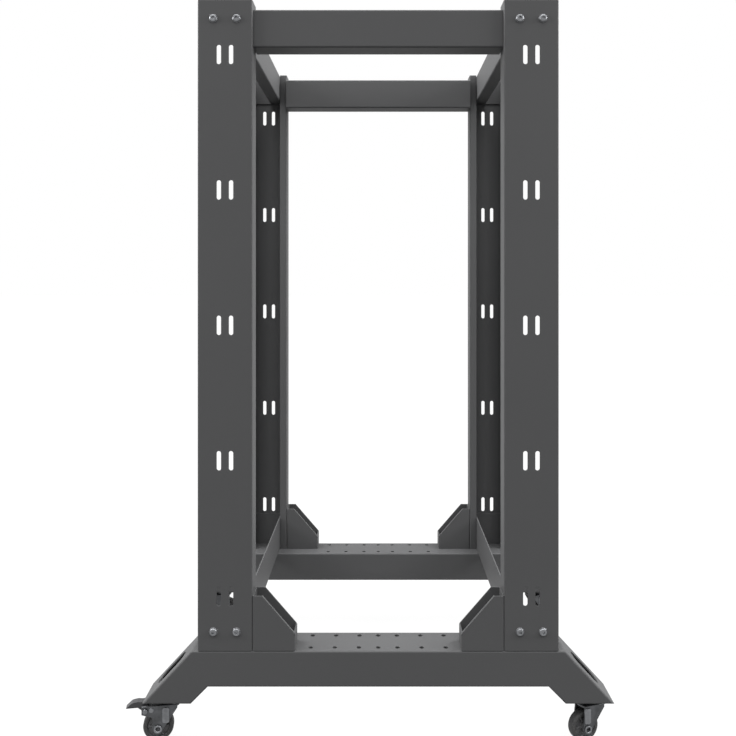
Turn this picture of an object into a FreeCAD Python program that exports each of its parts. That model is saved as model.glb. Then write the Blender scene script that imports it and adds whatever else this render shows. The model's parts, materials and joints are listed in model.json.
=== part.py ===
import FreeCAD, Part
import math
import os
import Sketcher

# Open-frame equipment rack stand: four lipped channel posts on two splayed base beams,
# tied by cross beams and top bars, standing on four swivel casters.
# +X is the front, +Z is up, and the origin is on the floor under the middle of the rack.
# Left and right are as seen by someone who faces the front.

os.makedirs("parts", exist_ok=True)
document = FreeCAD.newDocument("EquipmentRackStand")
sheet = document.addObject("Spreadsheet::Sheet", "Sizes")

# Driving sizes in millimetres, angles in degrees
sizes = {
    "rack_opening": 450,
    "post_pitch": 503,
    "post_end": 45.3,
    "post_web": 90,
    "post_flange": 40,
    "post_lip": 15,
    "post_sheet": 2,
    "bend_inside": 0.5,
    "slot_length": 32,
    "slot_width": 7.4,
    "slot_gap": 20,
    "slot_pitch_units": 5,
    "rack_unit": 44.45,
    "rack_unit_count": 22,
    "rack_hole_outer_step": 15.875,
    "rack_hole_size": 9.5,
    "rack_hole_inset": 7.55,
    "beam_depth": 70,
    "beam_height": 59.5,
    "beam_sheet": 2.5,
    "beam_shoulder": 10,
    "leg_reach": 81.5,
    "leg_drop": 28,
    "leg_foot_length": 80,
    "leg_haunch": 28,
    "beam_bottom_lip": 12,
    "beam_bend": 3,
    "shoulder_bend": 8,
    "leg_slot_length": 66,
    "leg_slot_width": 32,
    "top_hole": 8,
    "top_hole_row": 44,
    "top_hole_first": 32,
    "top_hole_pitch": 40,
    "top_hole_steps": 3,
    "gusset_length": 70,
    "gusset_height": 90,
    "gusset_top": 16,
    "gusset_nose": 28,
    "gusset_return": 5,
    "gusset_bend": 2.5,
    "cross_fit": 0.4,
    "cross_sheet": 2,
    "cross_flange": 25,
    "cross_end_plate": 3,
    "lower_cross_height": 70,
    "upper_cross_height": 54,
    "upper_cross_below_top": 3,
    "top_bar_height": 62.5,
    "top_bar_depth": 45,
    "top_bar_sheet": 2,
    "top_bar_bend": 3,
    "top_bar_setback": 8,
    "top_bar_below_top": 13.5,
    "caster_height": 75,
    "caster_inset": 32,
    "caster_plate_size": 50,
    "caster_plate_sheet": 2.5,
    "caster_plate_corner": 5,
    "caster_trail": 13,
    "wheel_diameter": 50,
    "wheel_width": 16,
    "tyre_thickness": 6,
    "tyre_shoulder": 2.5,
    "wheel_side_gap": 5,
    "hub_side_gap": 0.5,
    "hub_boss": 16,
    "hub_rim": 2.2,
    "hub_dish": 4.2,
    "axle_diameter": 8,
    "axle_gap": 0.05,
    "axle_head": 13,
    "axle_head_height": 2.5,
    "fork_sheet": 2.5,
    "fork_end_round": 9,
    "fork_bend": 2,
    "crown_diameter": 48,
    "crown_sheet": 3,
    "crown_over_wheel": 10.5,
    "race_diameter": 34,
    "race_gap": 0.3,
    "race_taper": 4,
    "kingpin_diameter": 10,
    "kingpin_gap": 0.06,
    "kingpin_head": 14,
    "kingpin_head_height": 2,
    "pedal_pin_diameter": 4,
    "pedal_pin_gap": 0.05,
    "pedal_pin_head": 8,
    "pedal_pin_head_height": 2,
    "pedal_pin_back": 33.5,
    "pedal_pin_up": 31,
    "pedal_ear_round": 6,
    "pedal_knuckle": 9,
    "pedal_knuckle_bend": 4,
    "pedal_sleeve": 8,
    "pedal_side_gap": 0.5,
    "pedal_lever_width": 13,
    "pedal_reach": 32,
    "pedal_rise": 12,
    "pedal_front_rise": 10,
    "pedal_back_rise": 10.5,
    "pedal_arch": 13,
    "pedal_skin": 2.2,
    "pedal_bend": 7,
    "front_left_yaw": 18,
    "front_right_yaw": 216,
    "rear_left_yaw": 10,
    "rear_right_yaw": 190,
}
for row, (alias, number) in enumerate(sizes.items(), start=1):
    sheet.set(f"A{row}", alias)
    sheet.set(f"B{row}", str(number))
    sheet.setAlias(f"B{row}", alias)
document.recompute()

# Levels above the floor and places that several pieces share
half_width = "(Sizes.rack_opening / 2 + Sizes.post_flange)"
post_length = "(Sizes.rack_unit_count * Sizes.rack_unit + 2 * Sizes.post_end)"
slot_pitch = "(Sizes.slot_pitch_units * Sizes.rack_unit)"
slot_rows = f"(floor(({post_length} - 2 * Sizes.slot_length) / {slot_pitch}) + 1)"
beam_flat_half = "((Sizes.post_pitch + Sizes.post_web) / 2 + Sizes.beam_shoulder)"
post_x = "Sizes.post_pitch / 2"
leg_bottom = "Sizes.caster_height"
waist_bottom = "(Sizes.caster_height + Sizes.leg_drop)"
base_top = "(Sizes.caster_height + Sizes.leg_drop + Sizes.beam_height)"
post_top = f"({base_top} + {post_length})"
lip_opening = "(Sizes.post_web - 2 * Sizes.post_lip)"
post_gap = "(Sizes.post_pitch - Sizes.post_web)"
cross_length = f"(2 * {half_width} - 2 * Sizes.post_sheet)"
leg_tip = f"({beam_flat_half} + Sizes.leg_reach)"
leg_height = "(Sizes.leg_drop + Sizes.beam_height)"
slope_length = f"sqrt(Sizes.leg_reach ^ 2 + {leg_height} ^ 2)"
caster_x = f"({leg_tip} - Sizes.caster_inset)"
caster_y = f"({half_width} - Sizes.beam_depth / 2)"
wheel_radius = "(Sizes.wheel_diameter / 2)"
crown_bottom = "(Sizes.wheel_diameter + Sizes.crown_over_wheel)"
crown_top = f"({crown_bottom} + Sizes.crown_sheet)"
plate_bottom = "(Sizes.caster_height - Sizes.caster_plate_sheet)"
fork_inside = "(Sizes.wheel_width + 2 * Sizes.wheel_side_gap)"
fork_outside = f"({fork_inside} + 2 * Sizes.fork_sheet)"
fork_half_chord = f"sqrt((Sizes.crown_diameter / 2) ^ 2 - ({fork_outside} / 2) ^ 2)"
pedal_pin_x = "(-Sizes.pedal_pin_back)"
pedal_pin_z = "(Sizes.wheel_diameter / 2 + Sizes.pedal_pin_up)"
sleeve_length = f"({fork_inside} - 2 * Sizes.pedal_side_gap)"

forward = FreeCAD.Vector(1, 0, 0)
across = FreeCAD.Vector(0, 1, 0)
up = FreeCAD.Vector(0, 0, 1)
tiny = 1e-6
clear_cut = 3
sub_parts = []


def value(formula):
    return float(sheet.evalExpression(formula))


def new_body(label):
    body = document.addObject("PartDesign::Body", label)
    body.Label = label
    sub_parts.append(body)
    return body


def place_body(body, x, y, z, yaw=0, flip=False):
    rotation = FreeCAD.Rotation(FreeCAD.Vector(0, 0, 1), yaw)
    if flip:
        rotation = rotation * FreeCAD.Rotation(FreeCAD.Vector(0, 1, 0), 180)
    body.Placement = FreeCAD.Placement(FreeCAD.Vector(), rotation)
    for axis, formula in (("x", x), ("y", y), ("z", z)):
        body.setExpression(f"Placement.Base.{axis}", formula)


def origin_feature(body, role):
    return next(feature for feature in body.Origin.OriginFeatures if feature.Role == role)


def new_sketch(body, name, role, offset="0"):
    sketch = body.newObject("Sketcher::SketchObject", name)
    sketch.AttachmentSupport = [(origin_feature(body, role), "")]
    sketch.MapMode = "FlatFace"
    sketch.setExpression("AttachmentOffset.Base.z", offset)
    return sketch


def constrain(sketch, kind, formula, *picks):
    index = sketch.addConstraint(Sketcher.Constraint(kind, *picks, value(formula)))
    sketch.setExpression(f"Constraints[{index}]", formula)


def hold_point(sketch, geometry, vertex, x, y):
    constrain(sketch, "DistanceX", x, -1, 1, geometry, vertex)
    constrain(sketch, "DistanceY", y, -1, 1, geometry, vertex)


def add_outline(sketch, corners):
    points = [FreeCAD.Vector(value(x), value(y), 0) for x, y in corners]
    first = sketch.GeometryCount
    for start, end in zip(points, points[1:] + points[:1]):
        sketch.addGeometry(Part.LineSegment(start, end), False)
    count = len(corners)
    for index in range(count):
        following = first + (index + 1) % count
        sketch.addConstraint(Sketcher.Constraint("Coincident", first + index, 2, following, 1))
    for index, (x, y) in enumerate(corners):
        hold_point(sketch, first + index, 1, x, y)


def add_rectangle(sketch, x, y, width, height):
    left, right = f"{x} - {width} / 2", f"{x} + {width} / 2"
    bottom, top = f"{y} - {height} / 2", f"{y} + {height} / 2"
    add_outline(sketch, [(left, bottom), (right, bottom), (right, top), (left, top)])


def add_circle(sketch, x, y, diameter):
    centre = FreeCAD.Vector(value(x), value(y), 0)
    circle = Part.Circle(centre, FreeCAD.Vector(0, 0, 1), value(diameter) / 2)
    index = sketch.addGeometry(circle, False)
    hold_point(sketch, index, 3, x, y)
    constrain(sketch, "Diameter", diameter, index)


def add_clipped_disc(sketch, diameter, width):
    radius, half = value(diameter) / 2, value(width) / 2
    reach = math.asin(half / radius)
    circle = Part.Circle(FreeCAD.Vector(), FreeCAD.Vector(0, 0, 1), radius)
    arcs = [
        sketch.addGeometry(Part.ArcOfCircle(circle, middle - reach, middle + reach), False)
        for middle in (0, math.pi)
    ]
    sides = []
    for start_arc, end_arc, height in ((0, 1, f"{width} / 2"), (1, 0, f"-{width} / 2")):
        start = sketch.Geometry[arcs[start_arc]].EndPoint
        end = sketch.Geometry[arcs[end_arc]].StartPoint
        side = sketch.addGeometry(Part.LineSegment(start, end), False)
        sketch.addConstraint(Sketcher.Constraint("Coincident", arcs[start_arc], 2, side, 1))
        sketch.addConstraint(Sketcher.Constraint("Coincident", side, 2, arcs[end_arc], 1))
        sketch.addConstraint(Sketcher.Constraint("Horizontal", side))
        sides.append((side, height))
    for arc in arcs:
        sketch.addConstraint(Sketcher.Constraint("Coincident", arc, 3, -1, 1))
        constrain(sketch, "Diameter", diameter, arc)
    for side, height in sides:
        constrain(sketch, "DistanceY", height, -1, 1, side, 1)


def add_slot(sketch, x, y, length, width, upright):
    reach = f"({length} - {width}) / 2"
    radius = value(width) / 2
    quarter = math.pi / 2
    turn = quarter if upright else 0
    ends = []
    for sign, start in (("-", quarter + turn), ("+", -quarter + turn)):
        centre_x = x if upright else f"{x} {sign} {reach}"
        centre_y = f"{y} {sign} {reach}" if upright else y
        centre = FreeCAD.Vector(value(centre_x), value(centre_y), 0)
        circle = Part.Circle(centre, FreeCAD.Vector(0, 0, 1), radius)
        arc = sketch.addGeometry(Part.ArcOfCircle(circle, start, start + math.pi), False)
        ends.append((arc, centre_x, centre_y))
    first, second = ends[0][0], ends[1][0]
    sides = []
    for start_arc, end_arc in ((first, second), (second, first)):
        start = sketch.Geometry[start_arc].EndPoint
        end = sketch.Geometry[end_arc].StartPoint
        sides.append(sketch.addGeometry(Part.LineSegment(start, end), False))
    for side, start_arc, end_arc in ((sides[0], first, second), (sides[1], second, first)):
        sketch.addConstraint(Sketcher.Constraint("Tangent", start_arc, 2, side, 1))
        sketch.addConstraint(Sketcher.Constraint("Tangent", side, 2, end_arc, 1))
    sketch.addConstraint(Sketcher.Constraint("Equal", first, second))
    constrain(sketch, "Radius", f"{width} / 2", first)
    for arc, centre_x, centre_y in ends:
        hold_point(sketch, arc, 3, centre_x, centre_y)


def extrude(body, kind, name, sketch, length, backwards=False, both_ways=False):
    feature = body.newObject(f"PartDesign::{kind}", name)
    feature.Profile = sketch
    feature.setExpression("Length", length)
    feature.Reversed = backwards
    if both_ways:
        feature.SideType = "Symmetric"
    sketch.Visibility = False
    document.recompute()
    return feature


def repeat_along(body, name, originals, role, length, count):
    pattern = body.newObject("PartDesign::LinearPattern", name)
    pattern.Originals = originals
    pattern.Direction = (origin_feature(body, role), [""])
    pattern.setExpression("Length", length)
    pattern.setExpression("Occurrences", count)
    body.Tip = pattern
    document.recompute()
    return pattern


def mirror_across(body, name, originals, role):
    mirror = body.newObject("PartDesign::Mirrored", name)
    mirror.Originals = originals
    mirror.MirrorPlane = (origin_feature(body, role), [""])
    body.Tip = mirror
    document.recompute()
    return mirror


def round_edges(body, name, base, wanted, radius):
    names = [
        f"Edge{number}"
        for number, edge in enumerate(base.Shape.Edges, start=1)
        if wanted(edge)
    ]
    fillet = body.newObject("PartDesign::Fillet", name)
    fillet.Base = (base, names)
    fillet.setExpression("Radius", radius)
    body.Tip = fillet
    document.recompute()
    return fillet


def runs_along(edge, direction):
    if not isinstance(edge.Curve, Part.Line):
        return False
    return abs(abs(edge.Curve.Direction.dot(direction)) - 1) < tiny


# Posts
# A lipped channel: the web is the outer face of the side frame, the lips close the inside.
# It is the same from either end, so one pressing turned end for end serves all four corners.

def post(label, front, right):
    body = new_body(label)
    half_web = "Sizes.post_web / 2"
    lip_edge = f"{lip_opening} / 2"
    inner_web = "(Sizes.post_web / 2 - Sizes.post_sheet)"
    lip_face = "(Sizes.post_flange - Sizes.post_sheet)"
    profile = new_sketch(body, f"{label}_profile", "XY_Plane")
    add_outline(profile, [
        (f"-{half_web}", "0"),
        (half_web, "0"),
        (half_web, "Sizes.post_flange"),
        (lip_edge, "Sizes.post_flange"),
        (lip_edge, lip_face),
        (inner_web, lip_face),
        (inner_web, "Sizes.post_sheet"),
        (f"-{inner_web}", "Sizes.post_sheet"),
        (f"-{inner_web}", lip_face),
        (f"-{lip_edge}", lip_face),
        (f"-{lip_edge}", "Sizes.post_flange"),
        (f"-{half_web}", "Sizes.post_flange"),
    ])
    channel = extrude(body, "Pad", f"{label}_channel", profile, post_length)

    def on_fold(inset):
        x = value(half_web) - inset
        depths = (inset, value("Sizes.post_flange") - inset)

        def wanted(edge):
            point = edge.Vertexes[0].Point
            at_fold = abs(abs(point.x) - x) < tiny and min(abs(point.y - y) for y in depths) < tiny
            return runs_along(edge, up) and at_fold
        return wanted

    outside = round_edges(body, f"{label}_outer_bends", channel, on_fold(0),
                          "Sizes.bend_inside + Sizes.post_sheet")
    round_edges(body, f"{label}_inner_bends", outside, on_fold(value("Sizes.post_sheet")),
                "Sizes.bend_inside")

    slots = new_sketch(body, f"{label}_slot_pair", "XZ_Plane")
    lowest_row = f"({post_length} - ({slot_rows} - 1) * {slot_pitch}) / 2"
    for side in ("-", ""):
        add_slot(slots, f"{side}Sizes.slot_gap / 2", lowest_row, "Sizes.slot_length",
                 "Sizes.slot_width", upright=True)
    slot_pair = extrude(body, "Pocket", f"{label}_slot_cut", slots, f"{clear_cut} * Sizes.post_sheet",
                        both_ways=True)
    repeat_along(body, f"{label}_slot_rows", [slot_pair], "Z_Axis",
                 f"({slot_rows} - 1) * {slot_pitch}", slot_rows)

    rail = new_sketch(body, f"{label}_rail_unit", "YZ_Plane", half_web)
    hole_depth = "(Sizes.post_flange - Sizes.rack_hole_inset)"
    lowest_unit = "(Sizes.post_end + Sizes.rack_unit / 2)"
    for step in (-1, 0, 1):
        add_rectangle(rail, hole_depth, f"({lowest_unit} + {step} * Sizes.rack_hole_outer_step)",
                      "Sizes.rack_hole_size", "Sizes.rack_hole_size")
    unit_holes = extrude(body, "Pocket", f"{label}_rail_cut", rail, f"{clear_cut} * Sizes.post_sheet")
    repeat_along(body, f"{label}_rail_units", [unit_holes], "Z_Axis",
                 "(Sizes.rack_unit_count - 1) * Sizes.rack_unit", "Sizes.rack_unit_count")

    turned = front == right
    place_body(body, f"{front} * {post_x}", f"{right} * {half_width}",
               post_top if turned else base_top, 180 if right > 0 else 0, flip=turned)


# Base beams
# A folded box beam with splayed legs: flat top, sloping ends that come to a tip over the
# casters, and an underside that is open between two bottom lips.

def base_beam(label, right):
    body = new_body(label)
    haunch = f"({leg_tip} - Sizes.leg_foot_length)"
    waist_end = f"({haunch} - Sizes.leg_haunch)"
    right_half = [
        (beam_flat_half, base_top),
        (leg_tip, leg_bottom),
        (haunch, leg_bottom),
        (waist_end, waist_bottom),
    ]
    left_half = [(f"-{x}", z) for x, z in reversed(right_half)]
    side = new_sketch(body, f"{label}_side", "XZ_Plane")
    add_outline(side, right_half + left_half)
    blank = extrude(body, "Pad", f"{label}_blank", side, "Sizes.beam_depth", both_ways=True)

    top_level = value(base_top)

    def on_shoulder(edge):
        return runs_along(edge, across) and abs(edge.Vertexes[0].Point.z - top_level) < tiny

    folded = round_edges(body, f"{label}_shoulders", blank, on_shoulder, "Sizes.shoulder_bend")
    round_edges(body, f"{label}_bends", folded, lambda edge: not runs_along(edge, across),
                "Sizes.beam_bend")

    sheet_shift = f"Sizes.beam_sheet * ({slope_length} - Sizes.leg_reach) / {leg_height}"
    foot_shift = f"Sizes.beam_sheet * ({slope_length} + Sizes.leg_reach) / {leg_height}"
    haunch_length = "sqrt(Sizes.leg_haunch ^ 2 + Sizes.leg_drop ^ 2)"
    haunch_shift = f"Sizes.beam_sheet * ({haunch_length} - Sizes.leg_haunch) / Sizes.leg_drop"
    inner_right = [
        (f"({beam_flat_half} - {sheet_shift})", f"{base_top} - Sizes.beam_sheet"),
        (f"({leg_tip} - {foot_shift})", f"{leg_bottom} + Sizes.beam_sheet"),
        (f"({haunch} + {haunch_shift})", f"{leg_bottom} + Sizes.beam_sheet"),
        (f"({waist_end} + {haunch_shift})", f"{waist_bottom} + Sizes.beam_sheet"),
    ]
    inner_left = [(f"-{x}", z) for x, z in reversed(inner_right)]
    hollow = new_sketch(body, f"{label}_hollow", "XZ_Plane")
    add_outline(hollow, inner_right + inner_left)
    extrude(body, "Pocket", f"{label}_hollow_cut", hollow,
            "Sizes.beam_depth - 2 * Sizes.beam_sheet", both_ways=True)

    mouth = new_sketch(body, f"{label}_mouth", "XY_Plane", leg_bottom)
    mouth_width = "(Sizes.beam_depth - 2 * Sizes.beam_sheet - 2 * Sizes.beam_bottom_lip)"
    add_rectangle(mouth, "0", "0", f"(2 * {waist_end})", mouth_width)
    extrude(body, "Pocket", f"{label}_mouth_cut", mouth,
            "Sizes.leg_drop + 2 * Sizes.beam_sheet", backwards=True)

    holes = new_sketch(body, f"{label}_top_holes", "XY_Plane", base_top)
    for row in ("-", ""):
        y = f"{row}Sizes.top_hole_row / 2"
        add_circle(holes, "0", y, "Sizes.top_hole")
        for end in ("-", ""):
            for step in range(int(value("Sizes.top_hole_steps"))):
                x = f"{end}(Sizes.top_hole_first + {step} * Sizes.top_hole_pitch)"
                add_circle(holes, x, y, "Sizes.top_hole")
    extrude(body, "Pocket", f"{label}_top_hole_cut", holes,
            f"{clear_cut} * Sizes.beam_sheet", both_ways=True)

    slot = new_sketch(body, f"{label}_leg_slot", "XY_Plane")
    slot.AttachmentOffset = FreeCAD.Placement(FreeCAD.Vector(),
                                              FreeCAD.Rotation(FreeCAD.Vector(0, 1, 0), 45))
    slot.setExpression("AttachmentOffset.Base.x", f"{beam_flat_half} + Sizes.leg_reach / 2")
    slot.setExpression("AttachmentOffset.Base.z", f"{leg_bottom} + {leg_height} / 2")
    slot.setExpression("AttachmentOffset.Rotation.Angle", f"atan({leg_height} / Sizes.leg_reach)")
    add_slot(slot, "0", "0", "Sizes.leg_slot_length", "Sizes.leg_slot_width", upright=False)
    leg_slot = extrude(body, "Pocket", f"{label}_leg_slot_cut", slot, f"{clear_cut} * Sizes.beam_sheet",
                       both_ways=True)
    mirror_across(body, f"{label}_leg_slots", [leg_slot], "YZ_Plane")
    place_body(body, "0", f"{right} * {caster_y}", "0")


# Gussets
# An open-backed pressed bracket in the corner between a post and the base. One cheek has
# a return flange along its sloping edge.

def gusset(label, front, right):
    body = new_body(label)
    profile = new_sketch(body, f"{label}_profile", "XZ_Plane")
    toward_middle = "-" if front > 0 else ""

    def inward(x):
        return f"{toward_middle}({x})"

    add_outline(profile, [
        ("0", "0"),
        (inward("Sizes.gusset_length"), "0"),
        (inward("Sizes.gusset_length"), "Sizes.gusset_nose"),
        (inward("Sizes.gusset_top"), "Sizes.gusset_height"),
        ("0", "Sizes.gusset_height"),
    ])
    blank = extrude(body, "Pad", f"{label}_blank", profile, "Sizes.post_flange", backwards=True)
    round_edges(body, f"{label}_bends", blank, lambda edge: runs_along(edge, up),
                "Sizes.gusset_bend")

    hollow = new_sketch(body, f"{label}_hollow", "XZ_Plane", "-Sizes.post_sheet")
    near, far = inward("Sizes.post_sheet"), inward("Sizes.gusset_length - Sizes.post_sheet")
    add_outline(hollow, [
        (near, "-Sizes.post_sheet"),
        (far, "-Sizes.post_sheet"),
        (far, "Sizes.gusset_height + Sizes.post_sheet"),
        (near, "Sizes.gusset_height + Sizes.post_sheet"),
    ])
    extrude(body, "Pocket", f"{label}_hollow_cut", hollow,
            "Sizes.post_flange - 2 * Sizes.post_sheet")

    run = "(Sizes.gusset_length - Sizes.gusset_top)"
    rise = "(Sizes.gusset_height - Sizes.gusset_nose)"
    drop = f"Sizes.post_sheet * sqrt({run} ^ 2 + {rise} ^ 2) / {run}"
    flange = new_sketch(body, f"{label}_return", "XZ_Plane")
    add_outline(flange, [
        (inward("Sizes.gusset_top"), "Sizes.gusset_height"),
        (inward("Sizes.gusset_length"), "Sizes.gusset_nose"),
        (inward("Sizes.gusset_length"), f"Sizes.gusset_nose - {drop}"),
        (inward("Sizes.gusset_top"), f"Sizes.gusset_height - {drop}"),
    ])
    extrude(body, "Pad", f"{label}_return_flange", flange, "Sizes.gusset_return", backwards=True)
    outer_plane = half_width if right < 0 else f"{half_width} - Sizes.post_flange"
    place_body(body, f"{front} * {post_gap} / 2", f"{right} * ({outer_plane})", base_top)


# Cross beams
# A folded angle: an upright face toward the rack's middle and a flange along its foot. A plate
# at each end sits between the post lips, flat on the post web that it is screwed to.

def cross_beam(label, front, height, centre_height):
    body = new_body(label)
    plate_width = f"({lip_opening} - 2 * Sizes.cross_fit)"
    toward_middle = "-" if front > 0 else ""
    bottom, top = f"{centre_height} - {height} / 2", f"{centre_height} + {height} / 2"

    def across_section(inset):
        return f"{toward_middle}({plate_width} / 2 - {inset})"

    outer_face, inner_face = across_section("0"), across_section("Sizes.cross_sheet")
    flange_end = across_section("Sizes.cross_flange")
    flange_top = f"{bottom} + Sizes.cross_sheet"
    section = new_sketch(body, f"{label}_section", "XZ_Plane")
    add_outline(section, [
        (outer_face, bottom),
        (flange_end, bottom),
        (flange_end, flange_top),
        (inner_face, flange_top),
        (inner_face, top),
        (outer_face, top),
    ])
    angle = extrude(body, "Pad", f"{label}_angle", section, cross_length, both_ways=True)

    def on_fold(x, z):
        corner = FreeCAD.Vector(value(x), 0, value(z))

        def wanted(edge):
            point = edge.Vertexes[0].Point
            gap = FreeCAD.Vector(point.x, 0, point.z).distanceToPoint(corner)
            return runs_along(edge, across) and gap < tiny
        return wanted

    outside = round_edges(body, f"{label}_outer_bend", angle, on_fold(outer_face, bottom),
                          "Sizes.bend_inside + Sizes.cross_sheet")
    round_edges(body, f"{label}_inner_bend", outside, on_fold(inner_face, flange_top),
                "Sizes.bend_inside")

    end_plate = new_sketch(body, f"{label}_end_plate", "XZ_Plane",
                           f"{cross_length} / 2 - Sizes.cross_end_plate")
    add_rectangle(end_plate, "0", centre_height, plate_width, height)
    plate = extrude(body, "Pad", f"{label}_end_plate_pad", end_plate, "Sizes.cross_end_plate")
    mirror_across(body, f"{label}_end_plates", [plate], "XZ_Plane")
    place_body(body, f"{front} * {post_x}", "0", "0")


# Top bars
# Folded box sections, closed at their ends, that butt against the post flanges.

def top_bar(label, right):
    body = new_body(label)
    centre_height = f"({post_top} - Sizes.top_bar_below_top - Sizes.top_bar_height / 2)"
    outside = new_sketch(body, f"{label}_outside", "YZ_Plane")
    add_rectangle(outside, "0", centre_height, "Sizes.top_bar_depth", "Sizes.top_bar_height")
    blank = extrude(body, "Pad", f"{label}_blank", outside, post_gap, both_ways=True)
    round_edges(body, f"{label}_bends", blank, lambda edge: runs_along(edge, forward),
                "Sizes.top_bar_bend")
    inside = new_sketch(body, f"{label}_inside", "YZ_Plane")
    add_rectangle(inside, "0", centre_height, "(Sizes.top_bar_depth - 2 * Sizes.top_bar_sheet)",
                  "(Sizes.top_bar_height - 2 * Sizes.top_bar_sheet)")
    extrude(body, "Pocket", f"{label}_inside_cut", inside,
            f"({post_gap} - 2 * Sizes.top_bar_sheet)", both_ways=True)
    setback = f"({half_width} - Sizes.top_bar_setback - Sizes.top_bar_depth / 2)"
    place_body(body, "0", f"{right} * {setback}", "0")


# Casters
# Each is drawn about its own swivel axis with the wheel trailing towards -X.

def turned_profile(body, name, corners, role="XZ_Plane", axis="Z_Axis"):
    sketch = new_sketch(body, name, role)
    add_outline(sketch, corners)
    spin = body.newObject("PartDesign::Revolution", f"{name}_turned")
    spin.Profile = sketch
    spin.ReferenceAxis = (origin_feature(body, axis), [""])
    spin.Angle = 360
    sketch.Visibility = False
    body.Tip = spin
    document.recompute()
    return spin


def caster_plate(label, x, y):
    body = new_body(label)
    outline = new_sketch(body, f"{label}_outline", "XY_Plane", plate_bottom)
    add_rectangle(outline, "0", "0", "Sizes.caster_plate_size", "Sizes.caster_plate_size")
    plate = extrude(body, "Pad", f"{label}_plate", outline, "Sizes.caster_plate_sheet")
    round_edges(body, f"{label}_corners", plate, lambda edge: runs_along(edge, up),
                "Sizes.caster_plate_corner")
    head_top = f"({crown_bottom} - Sizes.race_gap)"
    race_foot = f"({crown_top} + Sizes.race_gap)"
    turned_profile(body, f"{label}_race", [
        ("0", f"{head_top} - Sizes.kingpin_head_height"),
        ("Sizes.kingpin_head / 2", f"{head_top} - Sizes.kingpin_head_height"),
        ("Sizes.kingpin_head / 2", head_top),
        ("Sizes.kingpin_diameter / 2", head_top),
        ("Sizes.kingpin_diameter / 2", race_foot),
        ("Sizes.race_diameter / 2 - Sizes.race_taper", race_foot),
        ("Sizes.race_diameter / 2", plate_bottom),
        ("0", plate_bottom),
    ])
    place_body(body, x, y, "0")


def caster_fork(label, x, y, yaw, braked):
    body = new_body(label)
    trail_x = "(-Sizes.caster_trail)"
    crown = new_sketch(body, f"{label}_crown", "XY_Plane", crown_bottom)
    add_clipped_disc(crown, "Sizes.crown_diameter", fork_outside)
    extrude(body, "Pad", f"{label}_crown_disc", crown, "Sizes.crown_sheet")

    legs = new_sketch(body, f"{label}_legs", "XZ_Plane")
    leg_end = f"{wheel_radius} - Sizes.fork_end_round"
    front_edge = [
        (f"{trail_x} - Sizes.fork_end_round / 2", leg_end),
        (f"{trail_x} + Sizes.fork_end_round / 2", leg_end),
        (f"{trail_x} + Sizes.fork_end_round", wheel_radius),
        (fork_half_chord, f"{crown_bottom} - Sizes.crown_sheet"),
        (fork_half_chord, crown_top),
    ]
    plain_back = [
        (f"-{fork_half_chord}", crown_top),
        (f"-{fork_half_chord}", f"{crown_bottom} - Sizes.crown_sheet"),
        (f"{trail_x} - Sizes.fork_end_round", wheel_radius),
    ]
    eared_back = [
        (f"{pedal_pin_x} - Sizes.pedal_ear_round", crown_top),
        (f"{pedal_pin_x} - Sizes.pedal_ear_round", f"{pedal_pin_z} - Sizes.pedal_ear_round"),
        (f"{trail_x} - Sizes.fork_end_round", f"{pedal_pin_z} - 2 * Sizes.pedal_ear_round"),
        (f"{trail_x} - Sizes.fork_end_round", wheel_radius),
    ]
    add_outline(legs, front_edge + (eared_back if braked else plain_back))
    leg_pair = extrude(body, "Pad", f"{label}_leg_pair", legs, fork_outside, both_ways=True)

    rim_height = value(crown_top)
    leg_face = value(fork_outside) / 2

    def on_shoulder(edge):
        ends = [vertex.Point for vertex in edge.Vertexes]
        return all(abs(point.z - rim_height) < tiny for point in ends) and (
            runs_along(edge, forward) and abs(abs(ends[0].y) - leg_face) < tiny)

    round_edges(body, f"{label}_shoulders", leg_pair, on_shoulder, "Sizes.fork_bend")

    gap = new_sketch(body, f"{label}_gap", "XZ_Plane")
    margin = f"({clear_cut} * Sizes.crown_diameter)"
    add_outline(gap, [
        (f"-{margin}", "0"),
        (margin, "0"),
        (margin, crown_bottom),
        (f"-{margin}", crown_bottom),
    ])
    extrude(body, "Pocket", f"{label}_gap_cut", gap, fork_inside, both_ways=True)
    if braked:
        back_gap = new_sketch(body, f"{label}_back_gap", "XZ_Plane")
        add_outline(back_gap, [
            (f"-{margin}", crown_bottom),
            ("-Sizes.crown_diameter / 2", crown_bottom),
            ("-Sizes.crown_diameter / 2", f"{crown_top} + Sizes.crown_sheet"),
            (f"-{margin}", f"{crown_top} + Sizes.crown_sheet"),
        ])
        extrude(body, "Pocket", f"{label}_back_gap_cut", back_gap, fork_inside, both_ways=True)
        pin_bore = new_sketch(body, f"{label}_pedal_bore", "XZ_Plane")
        add_circle(pin_bore, pedal_pin_x, pedal_pin_z,
                   "(Sizes.pedal_pin_diameter + 2 * Sizes.pedal_pin_gap)")
        extrude(body, "Pocket", f"{label}_pedal_bore_cut", pin_bore, f"{clear_cut} * {fork_outside}",
                both_ways=True)

    axle_bore = new_sketch(body, f"{label}_axle_bore", "XZ_Plane")
    add_circle(axle_bore, trail_x, wheel_radius, "Sizes.axle_diameter")
    extrude(body, "Pocket", f"{label}_axle_bore_cut", axle_bore, f"{clear_cut} * {fork_outside}",
            both_ways=True)
    king_bore = new_sketch(body, f"{label}_king_bore", "XY_Plane", crown_bottom)
    add_circle(king_bore, "0", "0", "(Sizes.kingpin_diameter + 2 * Sizes.kingpin_gap)")
    extrude(body, "Pocket", f"{label}_king_bore_cut", king_bore, f"{clear_cut} * Sizes.crown_sheet",
            both_ways=True)
    place_body(body, x, y, "0", yaw)


def wheel_place(x, y, yaw):
    angle = math.radians(yaw)
    return (
        f"{x} - Sizes.caster_trail * {math.cos(angle)}",
        f"{y} - Sizes.caster_trail * {math.sin(angle)}",
        wheel_radius,
    )


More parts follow.
